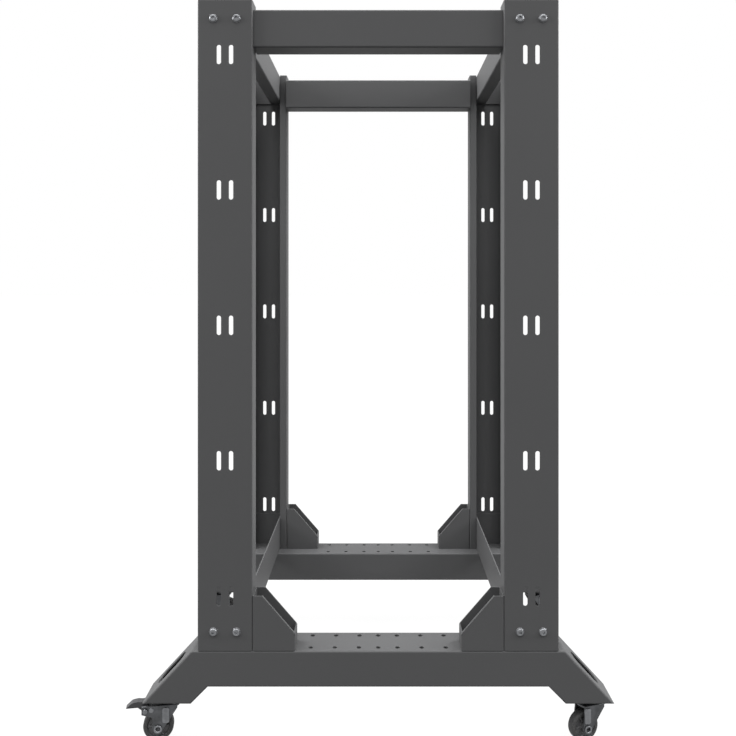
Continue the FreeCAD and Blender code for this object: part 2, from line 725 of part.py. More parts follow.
def tyre(label, x, y, yaw):
    body = new_body(label)
    rim = f"({wheel_radius} - Sizes.tyre_thickness)"
    edge = "Sizes.wheel_width / 2"
    half = [
        (rim, edge),
        (f"({wheel_radius} - Sizes.tyre_shoulder)", edge),
        (wheel_radius, f"({edge} - Sizes.tyre_shoulder)"),
    ]
    other_half = [(radius, f"-({offset})") for radius, offset in reversed(half)]
    turned_profile(body, f"{label}_band", half + other_half, role="XY_Plane", axis="Y_Axis")
    place_body(body, *wheel_place(x, y, yaw), yaw)


def hub(label, x, y, yaw):
    body = new_body(label)
    rim = f"({wheel_radius} - Sizes.tyre_thickness)"
    bore = "(Sizes.axle_diameter / 2 + Sizes.axle_gap)"
    boss_end = f"({fork_inside} / 2 - Sizes.hub_side_gap)"
    face = "Sizes.wheel_width / 2"
    dish = f"({face} - Sizes.hub_dish)"
    half = [
        (rim, face),
        (f"({rim} - Sizes.hub_rim)", face),
        (f"({rim} - Sizes.hub_rim)", dish),
        ("Sizes.hub_boss / 2", dish),
        ("Sizes.hub_boss / 2", boss_end),
        (bore, boss_end),
    ]
    other_half = [(radius, f"-({offset})") for radius, offset in reversed(half)]
    turned_profile(body, f"{label}_section", half + other_half, role="XY_Plane", axis="Y_Axis")
    place_body(body, *wheel_place(x, y, yaw), yaw)


def axle(label, x, y, yaw):
    body = new_body(label)
    head_in = f"({fork_outside} / 2)"
    head_out = f"({fork_outside} / 2 + Sizes.axle_head_height)"
    turned_profile(body, f"{label}_section", [
        ("0", f"-{head_out}"),
        ("Sizes.axle_head / 2", f"-{head_out}"),
        ("Sizes.axle_head / 2", f"-{head_in}"),
        ("Sizes.axle_diameter / 2", f"-{head_in}"),
        ("Sizes.axle_diameter / 2", head_in),
        ("Sizes.axle_head / 2", head_in),
        ("Sizes.axle_head / 2", head_out),
        ("0", head_out),
    ], role="XY_Plane", axis="Y_Axis")
    place_body(body, *wheel_place(x, y, yaw), yaw)


# The brake pedal is an arched tray: a skin with side skirts, on a sleeve between the ears.

def brake_pedal(label, x, y, yaw):
    body = new_body(label)

    def at(back, height):
        return f"{pedal_pin_x} - ({back})", f"{pedal_pin_z} + {height}"

    lever = new_sketch(body, f"{label}_lever", "XZ_Plane")
    knuckle_radius = "Sizes.pedal_knuckle / 2"
    add_outline(lever, [
        at(f"-{knuckle_radius}", "0"),
        at(f"-{knuckle_radius} / 2", "Sizes.pedal_front_rise"),
        at("Sizes.pedal_arch", "Sizes.pedal_rise"),
        at("(Sizes.pedal_arch + Sizes.pedal_reach) / 2", "Sizes.pedal_back_rise"),
        at("Sizes.pedal_reach", "Sizes.pedal_skin"),
        at("Sizes.pedal_arch", "Sizes.pedal_skin"),
        at(knuckle_radius, f"-{knuckle_radius}"),
        at(f"-{knuckle_radius}", f"-{knuckle_radius}"),
    ])
    blank = extrude(body, "Pad", f"{label}_blank", lever, "Sizes.pedal_lever_width", both_ways=True)
    skin_level = value(pedal_pin_z) + 2 * value("Sizes.pedal_skin")

    def on_arch(edge):
        return runs_along(edge, across) and edge.Vertexes[0].Point.z > skin_level

    arch = round_edges(body, f"{label}_arch", blank, on_arch, "Sizes.pedal_bend")

    def on_knuckle(edge):
        point = edge.Vertexes[0].Point
        level = value(pedal_pin_z) - value(knuckle_radius)
        return runs_along(edge, across) and abs(point.z - level) < tiny

    round_edges(body, f"{label}_knuckle", arch, on_knuckle, "Sizes.pedal_knuckle_bend")

    tray = new_sketch(body, f"{label}_tray", "XZ_Plane")
    add_outline(tray, [
        at(f"{knuckle_radius} + Sizes.pedal_skin", "-Sizes.pedal_rise"),
        at("Sizes.pedal_reach - Sizes.pedal_skin", "-Sizes.pedal_rise"),
        at("Sizes.pedal_reach - Sizes.pedal_skin", "Sizes.pedal_skin"),
        at("(Sizes.pedal_arch + Sizes.pedal_reach) / 2 - Sizes.pedal_skin",
           "Sizes.pedal_back_rise - 2 * Sizes.pedal_skin"),
        at("Sizes.pedal_arch", "Sizes.pedal_rise - 2 * Sizes.pedal_skin"),
        at(f"{knuckle_radius} + Sizes.pedal_skin", "Sizes.pedal_front_rise - Sizes.pedal_skin"),
    ])
    extrude(body, "Pocket", f"{label}_tray_cut", tray,
            "Sizes.pedal_lever_width - 2 * Sizes.pedal_skin", both_ways=True)

    sleeve = new_sketch(body, f"{label}_sleeve", "XZ_Plane")
    add_circle(sleeve, pedal_pin_x, pedal_pin_z, "Sizes.pedal_sleeve")
    extrude(body, "Pad", f"{label}_sleeve_tube", sleeve, sleeve_length, both_ways=True)
    pin = new_sketch(body, f"{label}_pin", "XZ_Plane")
    add_circle(pin, pedal_pin_x, pedal_pin_z, "Sizes.pedal_pin_diameter")
    extrude(body, "Pad", f"{label}_pin_rod", pin,
            f"{fork_outside} + 2 * Sizes.pedal_side_gap", both_ways=True)
    for name, start, backwards in (("near", f"{fork_outside} / 2 + Sizes.pedal_side_gap", False),
                                   ("far", f"-{fork_outside} / 2 - Sizes.pedal_side_gap", True)):
        head = new_sketch(body, f"{label}_{name}_head", "XZ_Plane", start)
        add_circle(head, pedal_pin_x, pedal_pin_z, "Sizes.pedal_pin_head")
        extrude(body, "Pad", f"{label}_{name}_rivet", head, "Sizes.pedal_pin_head_height",
                backwards=backwards)
    place_body(body, x, y, "0", yaw)


def caster(corner, front, right):
    braked = front == right
    yaw = value(f"Sizes.{corner}_yaw")
    x = f"{front} * {caster_x}"
    y = f"{right} * {caster_y}"
    caster_plate(f"caster_plate_{corner}", x, y)
    caster_fork(f"caster_fork_{corner}", x, y, yaw, braked)
    tyre(f"caster_tyre_{corner}", x, y, yaw)
    hub(f"caster_hub_{corner}", x, y, yaw)
    axle(f"caster_axle_{corner}", x, y, yaw)
    if braked:
        brake_pedal(f"brake_pedal_{corner}", x, y, yaw)


corners = {
    "front_left": (1, -1),
    "front_right": (1, 1),
    "rear_left": (-1, -1),
    "rear_right": (-1, 1),
}
for corner, (front, right) in corners.items():
    post(f"post_{corner}", front, right)
    gusset(f"gusset_{corner}", front, right)
    caster(corner, front, right)
for side, right in (("left", -1), ("right", 1)):
    base_beam(f"base_beam_{side}", right)
    top_bar(f"top_bar_{side}", right)
lower_centre = f"({base_top} + Sizes.lower_cross_height / 2)"
upper_centre = f"({post_top} - Sizes.upper_cross_below_top - Sizes.upper_cross_height / 2)"
for end, front in (("front", 1), ("rear", -1)):
    cross_beam(f"lower_cross_{end}", front, "Sizes.lower_cross_height", lower_centre)
    cross_beam(f"upper_cross_{end}", front, "Sizes.upper_cross_height", upper_centre)

document.recompute()
for item in document.Objects:
    if "Invalid" in item.State or "Error" in item.State:
        raise RuntimeError(f"{item.Label} did not build: {item.State}")
for piece in sub_parts:
    if piece.Shape.isNull() or not piece.Shape.isValid():
        raise RuntimeError(f"{piece.Label} has no valid shape")
    piece.Shape.exportStep(f"parts/{piece.Label}.step")
print(f"{len(sub_parts)} pieces written")
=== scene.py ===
import bpy
import json
import math
from mathutils import Matrix, Vector


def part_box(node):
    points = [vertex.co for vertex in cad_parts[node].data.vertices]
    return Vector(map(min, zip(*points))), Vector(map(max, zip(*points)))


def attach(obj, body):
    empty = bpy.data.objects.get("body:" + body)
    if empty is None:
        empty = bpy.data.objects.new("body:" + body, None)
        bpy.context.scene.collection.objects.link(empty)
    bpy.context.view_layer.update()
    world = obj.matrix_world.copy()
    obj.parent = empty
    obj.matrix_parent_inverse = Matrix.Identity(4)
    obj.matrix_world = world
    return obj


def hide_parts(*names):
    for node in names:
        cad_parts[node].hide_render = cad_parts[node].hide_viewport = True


# Open four-post equipment rack on swivel casters: finishes, screws and caster detail
# over the fixed frame. Metres throughout; +X is the front, +Y the right side, +Z up.

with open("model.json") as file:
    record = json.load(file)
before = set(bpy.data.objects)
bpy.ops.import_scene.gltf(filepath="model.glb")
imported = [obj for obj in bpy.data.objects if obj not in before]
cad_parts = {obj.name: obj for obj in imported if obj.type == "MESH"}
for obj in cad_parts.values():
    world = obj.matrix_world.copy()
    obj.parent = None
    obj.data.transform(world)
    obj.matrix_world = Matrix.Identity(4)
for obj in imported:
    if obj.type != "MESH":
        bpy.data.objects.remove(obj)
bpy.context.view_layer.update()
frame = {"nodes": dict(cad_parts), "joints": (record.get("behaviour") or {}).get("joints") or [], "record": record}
nodes = frame["nodes"]
joints = {joint["name"]: joint for joint in frame["joints"]}
corners = ("front_left", "front_right", "rear_left", "rear_right")
print("frame loaded with", len(nodes), "nodes")


# Modelling helpers

modelling = {
    "smoothAngle": 35,  # degrees; sharper edges stay hard
    "snug": 1e-5,       # slack when a point is tested against a height or radius
    "flat": 0.9,        # least share of a face's normal along the axle for it to count as an end
}


def selectOnly(piece):
    if bpy.context.object and bpy.context.object.mode != "OBJECT":
        bpy.ops.object.mode_set(mode="OBJECT")
    bpy.ops.object.select_all(action="DESELECT")
    piece.select_set(True)
    bpy.context.view_layer.objects.active = piece


def clearSelection(piece, kind):
    selectOnly(piece)
    bpy.ops.object.mode_set(mode="EDIT")
    bpy.ops.mesh.select_mode(type=kind)
    bpy.ops.mesh.select_all(action="DESELECT")
    bpy.ops.object.mode_set(mode="OBJECT")


def editEndFace(piece, side):
    clearSelection(piece, "FACE")
    for face in piece.data.polygons:
        face.select = face.normal.z * side > modelling["flat"]
    bpy.ops.object.mode_set(mode="EDIT")


def editEdges(piece, wanted):
    clearSelection(piece, "EDGE")
    points = piece.data.vertices
    for edge in piece.data.edges:
        edge.select = wanted(*(points[index].co for index in edge.vertices))
    bpy.ops.object.mode_set(mode="EDIT")


def leaveEdit(piece, smoothAngle=modelling["smoothAngle"]):
    selectOnly(piece)
    bpy.ops.object.shade_smooth_by_angle(angle=math.radians(smoothAngle))


def bevelEdges(piece, wanted, width, steps, smoothAngle=modelling["smoothAngle"]):
    editEdges(piece, wanted)
    bpy.ops.mesh.bevel(offset=width, segments=steps)
    leaveEdit(piece, smoothAngle)


def edgesAbove(height):
    return lambda a, b: min(a.z, b.z) > height


def levelEdge(a, b):
    return abs(a.z - b.z) < modelling["snug"]


def bakePlace(piece):
    bpy.ops.object.transform_apply(location=True, rotation=True, scale=True)
    return piece


def addCylinder(name, radius, low, high, sides=48, caps="NGON"):
    bpy.ops.object.select_all(action="DESELECT")
    bpy.ops.mesh.primitive_cylinder_add(vertices=sides, radius=radius, depth=high - low,
                                        end_fill_type=caps, location=(0, 0, (low + high) / 2))
    piece = bpy.context.object
    piece.name = name
    return bakePlace(piece)


def addBlock(extent, middle=(0, 0, 0)):
    bpy.ops.object.select_all(action="DESELECT")
    bpy.ops.mesh.primitive_cube_add(size=1, location=middle)
    block = bpy.context.object
    block.dimensions = extent
    return bakePlace(block)


def applyModifier(piece, kind, **settings):
    selectOnly(piece)
    modifier = piece.modifiers.new(kind.title(), kind)
    for key, setting in settings.items():
        setattr(modifier, key, setting)
    bpy.ops.object.modifier_apply(modifier=modifier.name)


def cutAway(piece, tool):
    applyModifier(piece, "BOOLEAN", operation="DIFFERENCE", solver="EXACT", object=tool)
    bpy.data.objects.remove(tool)


def joinAll(pieces):
    selectOnly(pieces[0])
    for piece in pieces[1:]:
        piece.select_set(True)
    bpy.ops.object.join()
    return pieces[0]


def facing(point, direction, turn=0):
    # puts a piece modelled along +Z at a point, standing along a direction
    away = Vector(direction).normalized()
    return (Matrix.Translation(point) @ away.to_track_quat("Z", "Y").to_matrix().to_4x4()
            @ Matrix.Rotation(turn, 4, "Z"))


# Shader arithmetic

class Shade:
    def __init__(self, tree, link=None):
        self.tree = tree
        self.link = link

    def node(self, kind, settings, inputs, output=0):
        made = self.tree.nodes.new(kind)
        for key, setting in settings.items():
            setattr(made, key, setting)
        for key, given in inputs.items():
            if isinstance(given, Shade):
                self.tree.links.new(given.link, made.inputs[key])
            else:
                made.inputs[key].default_value = given
        return Shade(self.tree, made.outputs[output] if made.outputs else None)

    def math(self, operation, first, second):
        return self.node("ShaderNodeMath", {"operation": operation}, {0: first, 1: second})

    def __add__(self, other):
        return self.math("ADD", self, other)

    def __sub__(self, other):
        return self.math("SUBTRACT", self, other)

    def __rsub__(self, other):
        return self.math("SUBTRACT", other, self)

    def __mul__(self, other):
        return self.math("MULTIPLY", self, other)

    __radd__ = __add__
    __rmul__ = __mul__

    def between(self, low, high):
        return self.node("ShaderNodeMapRange", {},
                         {"Value": self, "From Min": low, "From Max": high})

    def noise(self, place, scale, detail=3.0, roughness=0.5):
        return self.node("ShaderNodeTexNoise", {}, {"Vector": place, "Scale": scale,
                                                    "Detail": detail, "Roughness": roughness})

    def blend(self, factor, first, second):
        return self.node("ShaderNodeMix", {"data_type": "RGBA"},
                         {0: factor, 6: first, 7: second}, 2)

    def bump(self, height, strength, distance, normal=None):
        inputs = {"Height": height, "Strength": strength, "Distance": distance}
        if normal is not None:
            inputs["Normal"] = normal
        return self.node("ShaderNodeBump", {}, inputs)


def newMaterial(name):
    material = bpy.data.materials.new(name)
    material.use_nodes = True
    tree = material.node_tree
    tree.nodes.clear()
    shade = Shade(tree)
    place = shade.node("ShaderNodeTexCoord", {}, {}, "Object")
    return material, shade, place


def finishMaterial(shade, **sockets):
    surface = shade.node("ShaderNodeBsdfPrincipled", {},
                         {key.replace("_", " "): given for key, given in sockets.items()})
    shade.node("ShaderNodeOutputMaterial", {}, {"Surface": surface})


edgeMask = {
    "samples": 6,
    "turned": (0.01, 0.2),  # how far the rounded normal leans where the mask starts and is full
}


def softEdges(shade, radius):
    # a rounded normal at sharp edges, and a mask that is 1 on them
    rounded = shade.node("ShaderNodeBevel", {"samples": edgeMask["samples"]}, {"Radius": radius})
    flat = shade.node("ShaderNodeNewGeometry", {}, {}, "Normal")
    agree = shade.node("ShaderNodeVectorMath", {"operation": "DOT_PRODUCT"},
                       {0: rounded, 1: flat}, "Value")
    return rounded, (1 - agree).between(*edgeMask["turned"])


def toned(colour, brightness):
    return [channel * brightness for channel in colour[:3]] + [1]


# In the finishes a noise is given as scale, detail and roughness, and a bump as strength and depth.

# Powder coat: matte charcoal with a fine grain, a little lighter where the film is thin on edges

coatFinish = {
    "colour": (0.0720, 0.0725, 0.0740, 1),
    "cloudColour": (0.0650, 0.0655, 0.0668, 1),
    "edgeColour": (0.105, 0.106, 0.108, 1),
    "fleckColour": (0.16, 0.16, 0.165, 1),
    "cloud": (5.0, 4.0, 0.6),
    "grain": (1500.0, 2.0, 0.6),
    "peel": (380.0, 3.0, 0.5),
    "edgeRadius": 0.0008,
    "edgeStrength": 0.5,
    "edgeLeast": 0.4,
    "edgeBreak": 0.6,
    "fleckRange": (0.62, 0.80),
    "fleckStrength": 0.10,
    "peelBump": (0.35, 0.00010),
    "grainBump": (0.45, 0.00006),
    "rough": 0.50,
    "roughPeel": 0.12,
    "roughCloud": 0.04,
    "specular": 0.20,
}


def powderCoat():
    look = coatFinish
    material, shade, place = newMaterial("powderCoatCharcoal")
    cloud = shade.noise(place, *look["cloud"])
    grain = shade.noise(place, *look["grain"])
    peel = shade.noise(place, *look["peel"])
    rounded, onEdge = softEdges(shade, look["edgeRadius"])
    colour = shade.blend(cloud, look["cloudColour"], look["colour"])
    thinFilm = onEdge * (peel * look["edgeBreak"] + look["edgeLeast"]) * look["edgeStrength"]
    colour = shade.blend(thinFilm, colour, look["edgeColour"])
    fleck = grain.between(*look["fleckRange"]) * look["fleckStrength"]
    colour = shade.blend(fleck, colour, look["fleckColour"])
    normal = shade.bump(peel, *look["peelBump"], rounded)
    normal = shade.bump(grain, *look["grainBump"], normal)
    rough = peel * look["roughPeel"] + cloud * look["roughCloud"] + look["rough"]
    finishMaterial(shade, Base_Color=colour, Normal=normal, Roughness=rough,
                   Specular_IOR_Level=look["specular"])
    return material


# Zinc plate: metal with faint upright streaks and spangle. On the caster brackets it is toned near black
# as painted shade; greyer on the screws and rivets, and on the fork ribs as a painted highlight

zincFinish = {
    "bracket": {"brightness": 0.24, "rough": 0.34},
    "fastenerAndLitRib": {"brightness": 0.50, "rough": 0.24},
    "colour": (0.40, 0.41, 0.43),
    "dullColour": (0.22, 0.225, 0.235),
    "edgeColour": (0.55, 0.56, 0.58),
    "streakStretch": (1.0, 1.0, 0.08),
    "streaks": (260.0, 3.0, 0.6),
    "stain": (60.0, 5.0, 0.65),
    "spangleScale": 420.0,
    "edgeRadius": 0.0005,
    "edgeStrength": 0.5,
    "dullRange": (0.35, 0.72),
    "oxideRange": (0.55, 0.85),
    "oxideLoss": 0.25,
    "streakBump": (0.25, 0.00006),
    "roughStain": 0.22,
    "roughSpangle": 0.05,
}


def zincPlate(name, brightness, rough):
    look = zincFinish
    material, shade, place = newMaterial(name)
    stretched = shade.node("ShaderNodeMapping", {},
                           {"Vector": place, "Scale": look["streakStretch"]})
    streaks = shade.noise(stretched, *look["streaks"])
    spangle = shade.node("ShaderNodeTexVoronoi", {},
                         {"Vector": place, "Scale": look["spangleScale"]}, "Distance")
    stain = shade.noise(place, *look["stain"])
    rounded, onEdge = softEdges(shade, look["edgeRadius"])
    colour = shade.blend(stain.between(*look["dullRange"]), toned(look["colour"], brightness),
                         toned(look["dullColour"], brightness))
    colour = shade.blend(onEdge * look["edgeStrength"], colour,
                         toned(look["edgeColour"], brightness))
    finishMaterial(shade, Base_Color=colour,
                   Normal=shade.bump(streaks, *look["streakBump"], rounded),
                   Metallic=1.0 - stain.between(*look["oxideRange"]) * look["oxideLoss"],
                   Roughness=stain * look["roughStain"] + spangle * look["roughSpangle"] + rough)
    return material


# Moulded plastic: near-black, with a fine spark-eroded grain and polished edges

plasticFinish = {
    "hub": {"colour": (0.085, 0.085, 0.088, 1), "rough": 0.42},
    "pedal": {"colour": (0.028, 0.028, 0.030, 1), "rough": 0.38},
    "grain": (2600.0, 2.0, 0.6),
    "dust": (90.0, 5.0, 0.65),
    "edgeRadius": 0.0006,
    "dustRange": (0.5, 0.8),
    "dustStrength": 0.35,
    "edgeStrength": 0.4,
    "paler": 2.2,
    "grainBump": (0.4, 0.00005),
    "roughGrain": 0.1,
    "edgePolish": 0.12,
    "specular": 0.45,
}


def mouldedPlastic(name, colour, rough):
    look = plasticFinish
    material, shade, place = newMaterial(name)
    grain = shade.noise(place, *look["grain"])
    dust = shade.noise(place, *look["dust"])
    rounded, onEdge = softEdges(shade, look["edgeRadius"])
    worn = dust.between(*look["dustRange"]) * look["dustStrength"] + onEdge * look["edgeStrength"]
    finishMaterial(shade, Base_Color=shade.blend(worn, colour, toned(colour, look["paler"])),
                   Normal=shade.bump(grain, *look["grainBump"], rounded),
                   Roughness=rough + grain * look["roughGrain"] - onEdge * look["edgePolish"],
                   Specular_IOR_Level=look["specular"])
    return material


# Tyre: dark elastomer, dusty and lightly scuffed all round

tyreFinish = {
    "colour": (0.030, 0.030, 0.031, 1),
    "dustColour": (0.075, 0.074, 0.072, 1),
    "scuff": (240.0, 6.0, 0.7),
    "grain": (1800.0, 2.0, 0.5),
    "dustRange": (0.45, 0.75),
    "scuffBump": (0.35, 0.00015),
    "grainBump": (0.3, 0.00004),
    "rough": 0.5,
    "roughScuff": 0.25,
    "specular": 0.4,
}


def tyreRubber():
    look = tyreFinish
    material, shade, place = newMaterial("tyreRubber")
    scuff = shade.noise(place, *look["scuff"])
    grain = shade.noise(place, *look["grain"])
    tone = shade.blend(scuff.between(*look["dustRange"]), look["colour"], look["dustColour"])
    normal = shade.bump(scuff, *look["scuffBump"])
    normal = shade.bump(grain, *look["grainBump"], normal)
    finishMaterial(shade, Base_Color=tone, Normal=normal,
                   Roughness=scuff * look["roughScuff"] + look["rough"],
                   Specular_IOR_Level=look["specular"])
    return material


finishes = {
    "powder_coat": powderCoat(),
    # the brackets' near-black tone is painted shade over the fork's zinc
    "caster_steel": zincPlate("shadedZincBracket", **zincFinish["bracket"]),
    # the fastener zinc also serves as the fork ribs' painted highlight
    "caster_bolt": zincPlate("zincFastenerAndLitRib", **zincFinish["fastenerAndLitRib"]),
    "caster_tyre": tyreRubber(),
    "caster_hub": mouldedPlastic("hubPlastic", **plasticFinish["hub"]),
    "brake_pedal": mouldedPlastic("pedalPlastic", **plasticFinish["pedal"]),
}
for subpart in frame["record"]["subparts"]:
    skin = nodes[subpart["node"]].data.materials
    skin.clear()
    skin.append(finishes[subpart["material_slot"]])
print("finishes made:", ", ".join(finishes))


def copyTo(source, name, place, body, slotName="caster_bolt"):
    piece = source.copy()
    piece.data = source.data.copy()
    piece.name = name
    piece.data.name = name
    bpy.context.scene.collection.objects.link(piece)
    piece.data.transform(place)
    piece.data.materials.clear()
    piece.data.materials.append(finishes[slotName])
    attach(piece, body)
    return piece


# Button-head screws at the two ends of each post

screwSizes = {
    "headRadius": 0.0065,
    "headHeight": 0.0033,
    "domeBevel": 0.0027,
    "domeSteps": 6,
    "socketAcross": 0.0050,
    "socketDepth": 0.0023,
    "washerRadius": 0.0069,
    "washerHeight": 0.0003,
    "washerBevel": 0.4,  # share of the washer's height
    "washerSteps": 2,
    "halfSpacing": 0.019,
    "aboveFoot": 0.0315,
    "belowTop": 0.0305,
    "turn": 0.4,
}


def buttonScrew():
    size = screwSizes
    foot = size["washerHeight"]
    top = foot + size["headHeight"]
    washer = addCylinder("washer", size["washerRadius"], 0, foot)
    bevelEdges(washer, edgesAbove(foot / 2), foot * size["washerBevel"], size["washerSteps"])
    head = addCylinder("screw", size["headRadius"], foot, top)
    bevelEdges(head, edgesAbove(top - size["headHeight"] / 2), size["domeBevel"],
               size["domeSteps"])
    socketRadius = size["socketAcross"] / math.sqrt(3)
    key = addCylinder("key", socketRadius, top - size["socketDepth"], top + size["headHeight"],
                      sides=6)
    cutAway(head, key)
    screw = joinAll([head, washer])
    leaveEdit(screw)
    return screw


screw = buttonScrew()
for corner in corners:
    low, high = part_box(f"post_{corner}")
    outward = -1 if corner.endswith("left") else 1
    face = low.y if outward < 0 else high.y
    heights = {"foot": low.z + screwSizes["aboveFoot"], "top": high.z - screwSizes["belowTop"]}
    for end, height in heights.items():
        for side, label in ((-1, "rear"), (1, "front")):
            along = (low.x + high.x) / 2 + side * screwSizes["halfSpacing"]
            place = facing(Vector((along, face, height)), (0, outward, 0),
                           screwSizes["turn"] * side)
            copyTo(screw, f"post_screw_{corner}_{end}_{label}", place, "frame")
print("post screws placed")


# Screws through each gusset's upright wall into the post

gussetScrews = {"heights": (0.026, 0.064), "sheet": 0.002}

for corner in corners:
    low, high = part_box(f"gusset_{corner}")
    inward = -1 if corner.startswith("front") else 1
    wall = (high.x if inward < 0 else low.x) + inward * gussetScrews["sheet"]
    for number, height in enumerate(gussetScrews["heights"], start=1):
        point = Vector((wall, (low.y + high.y) / 2, low.z + height))
        copyTo(screw, f"gusset_screw_{corner}_{number}", facing(point, (inward, 0, 0), number),
               "frame")
print("gusset screws placed")


# Caster plate screws from below, with nuts where the leg leaves room for them

plateScrews = {
    "inset": 0.0072,
    "plateSheet": 0.0025,
    "screwTurn": 0.3,
    "nutTurn": 0.35,
    "nutRadius": 0.0058,
    "nutHeight": 0.0050,
    "nutBevel": 0.14,  # share of the nut's height
    "nutSmooth": 20,
    "shankRadius": 0.0030,
    "shankSides": 32,
    "shankEnd": 0.0022,
    "shankBevel": 0.0005,
    "bevelSteps": 2,
}


def hexNut():
    size = plateScrews
    top = size["nutHeight"]
    nut = addCylinder("nut", size["nutRadius"], 0, top, sides=6)
    bevelEdges(nut, edgesAbove(top / 2), top * size["nutBevel"], size["bevelSteps"],
               size["nutSmooth"])
    shank = addCylinder("shank", size["shankRadius"], 0, top + size["shankEnd"],
                        sides=size["shankSides"])
    bevelEdges(shank, edgesAbove(top), size["shankBevel"], size["bevelSteps"])
    return joinAll([nut, shank])


nut = hexNut()
for corner in corners:
    low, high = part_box(f"caster_plate_{corner}")
    middle = (low + high) / 2
    reach = (high.x - low.x) / 2 - plateScrews["inset"]
    innerSide = -1 if corner.startswith("front") else 1
    for sideX, labelX in ((-1, "rear"), (1, "front")):
        for sideY, labelY in ((-1, "left"), (1, "right")):
            label = f"{corner}_{labelX}_{labelY}"
            under = Vector((middle.x + sideX * reach, middle.y + sideY * reach,
                            high.z - plateScrews["plateSheet"]))
            turn = sideX + sideY * plateScrews["screwTurn"]
            copyTo(screw, f"plate_screw_{label}", facing(under, (0, 0, -1), turn), "frame")
            if sideX == innerSide:
                seat = Vector((under.x, under.y, high.z + plateScrews["plateSheet"]))
                turn = sideY * plateScrews["nutTurn"]
                copyTo(nut, f"plate_nut_{label}", facing(seat, (0, 0, 1), turn), "frame")
bpy.data.objects.remove(nut)
bpy.data.objects.remove(screw)
print("caster plate screws and nuts placed")


# Wheels: a rounded tyre on a ribbed hub, and a hollow rivet for the axle, modelled along +Z

wheelSizes = {
    "radius": 0.025,
    "width": 0.016,
    "tyreThickness": 0.006,
    "tyreSides": 96,
    "shoulder": 0.0036,
    "shoulderSteps": 6,
    "hubSides": 72,
    "rimWidth": 0.0022,
    "webDepth": 0.0042,
    "bossRadius": 0.0078,
    "bossEnd": 0.0125,
    "bossDish": 0.001,
    "bossBevel": 0.0005,
    "bore": 0.00415,
    "ribCount": 6,
    "ribThickness": 0.0016,
    "ribDrop": 0.0008,
    "ribOverlap": 0.0004,
    "ribBevel": 0.0003,
    "bevelSteps": 2,
}


def roundedTyre():
    size = wheelSizes
    half = size["width"] / 2
    band = addCylinder("tyre", size["radius"], -half, half, sides=size["tyreSides"],
                       caps="NOTHING")
    applyModifier(band, "SOLIDIFY", thickness=size["tyreThickness"], offset=-1)
    outer = size["radius"] - size["tyreThickness"] / 2

    def onShoulder(a, b):
        return levelEdge(a, b) and min(a.to_2d().length, b.to_2d().length) > outer

    bevelEdges(band, onShoulder, size["shoulder"], size["shoulderSteps"])
    return band


def ribbedHub():
    size = wheelSizes
    half = size["width"] / 2
    rim = size["radius"] - size["tyreThickness"]
    hub = addCylinder("hub", rim, -half, half, sides=size["hubSides"])
    bossRise = size["webDepth"] + size["bossEnd"] - half
    for side in (-1, 1):
        editEndFace(hub, side)
        bpy.ops.mesh.inset(thickness=size["rimWidth"])
        bpy.ops.transform.translate(value=(0, 0, -side * size["webDepth"]))
        bpy.ops.mesh.inset(thickness=rim - size["rimWidth"] - size["bossRadius"])
        bpy.ops.mesh.extrude_region_move(TRANSFORM_OT_translate={"value": (0, 0, side * bossRise)})
        bpy.ops.mesh.inset(thickness=size["bossRadius"] - size["bore"])
        bpy.ops.transform.translate(value=(0, 0, -side * size["bossDish"]))

    def onBossEnd(a, b):
        return levelEdge(a, b) and abs(a.z) > size["bossEnd"] - modelling["snug"]

    bevelEdges(hub, onBossEnd, size["bossBevel"], size["bevelSteps"])
    inner = size["bossRadius"] - size["ribOverlap"]
    outer = rim - size["rimWidth"] + size["ribOverlap"]
    ribExtent = (outer - inner, size["ribThickness"], size["width"] - 2 * size["ribDrop"])
    ribs = []
    for number in range(size["ribCount"]):
        rib = addBlock(ribExtent, ((inner + outer) / 2, 0, 0))
        bevelEdges(rib, levelEdge, size["ribBevel"], size["bevelSteps"])
        rib.data.transform(Matrix.Rotation(2 * math.pi * number / size["ribCount"], 4, "Z"))
        ribs.append(rib)
    return joinAll([hub] + ribs)


axleSizes = {
    "radius": 0.004,
    "sides": 40,
    "end": 0.018,
    "headIn": 0.0155,
    "headRadius": 0.0065,
    "lip": 0.0022,
    "hollow": 0.0040,
    "edge": 0.0006,
    "edgeSteps": 3,
}


def hollowRivet():
    size = axleSizes
    parts = [addCylinder("axle", size["radius"], -size["headIn"], size["headIn"],
                         sides=size["sides"])]

    def onHeadRim(a, b):
        return (min(abs(a.z), abs(b.z)) > size["end"] - modelling["snug"] and
                min(a.to_2d().length, b.to_2d().length) > size["headRadius"] - modelling["snug"])

    for side in (-1, 1):
        low, high = sorted((side * size["headIn"], side * size["end"]))
        head = addCylinder("rivetHead", size["headRadius"], low, high)
        editEndFace(head, side)
        bpy.ops.mesh.inset(thickness=size["lip"])
        bpy.ops.mesh.inset(thickness=size["edge"])
        bpy.ops.transform.translate(value=(0, 0, -side * size["edge"]))
        bpy.ops.mesh.extrude_region_move(
            TRANSFORM_OT_translate={"value": (0, 0, -side * size["hollow"])})
        bevelEdges(head, onHeadRim, size["edge"], size["edgeSteps"])
        parts.append(head)
    return joinAll(parts)


wheelParts = {
    "tyre": (roundedTyre(), "wheel", "caster_tyre"),
    "hub": (ribbedHub(), "wheel", "caster_hub"),
    "axle": (hollowRivet(), "swivel", "caster_bolt"),
}
for corner in corners:
    joint = joints[f"wheel_{corner}"]
    place = facing(Vector(joint["pos_m"]), joint["axis"])
    for part, (source, body, slotName) in wheelParts.items():
        piece = copyTo(source, f"{part}_{corner}", place, f"{body}_{corner}", slotName)
        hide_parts(f"caster_{part}_{corner}")
for source, body, slotName in wheelParts.values():
    bpy.data.objects.remove(source)
print("wheels dressed")


# Pressed ribs on the fork legs, and rivet caps on the pedal pins and pedal stops

